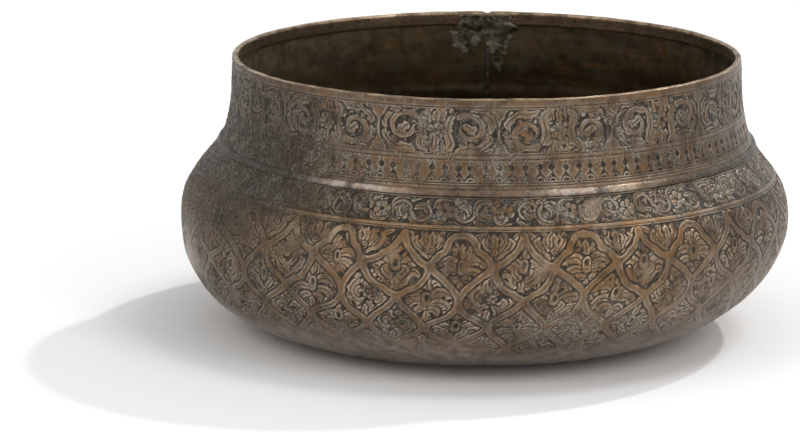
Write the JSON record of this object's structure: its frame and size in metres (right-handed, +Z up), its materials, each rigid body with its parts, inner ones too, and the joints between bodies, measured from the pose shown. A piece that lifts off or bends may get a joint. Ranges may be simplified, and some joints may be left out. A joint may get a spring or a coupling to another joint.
{
  "type": "bowl",
  "caption": "Low wide-bellied metal bowl with an upright neck, a half-round ridge on the shoulder and a flat underside.",
  "frame": {"origin": "middle of the flat underside, on the surface the bowl stands on", "axes": "+Z up along the bowl's axis, -Y towards the front of the picture, the neck's soldered seam at +Y"},
  "size_m": [0.2198, 0.2198, 0.099],
  "materials": {
    "lower_bowl": "worn brown brass with dark stained engraving",
    "neck_ring": "worn grey-brown brass with dark stained engraving",
    "shoulder_ridge": "rubbed brown brass",
    "rim_hoop": "warm stained brass",
    "neck_seam_solder": "dull grey solder",
    "shoulder_solder": "dull grey solder"
  },
  "bodies": {
    "root": {"lower_bowl": "lower_bowl", "neck_ring": "neck_ring", "shoulder_ridge": "shoulder_ridge", "rim_hoop": "rim_hoop", "neck_seam_solder": "neck_seam_solder", "shoulder_solder": "shoulder_solder"}
  },
  "joints": []
}
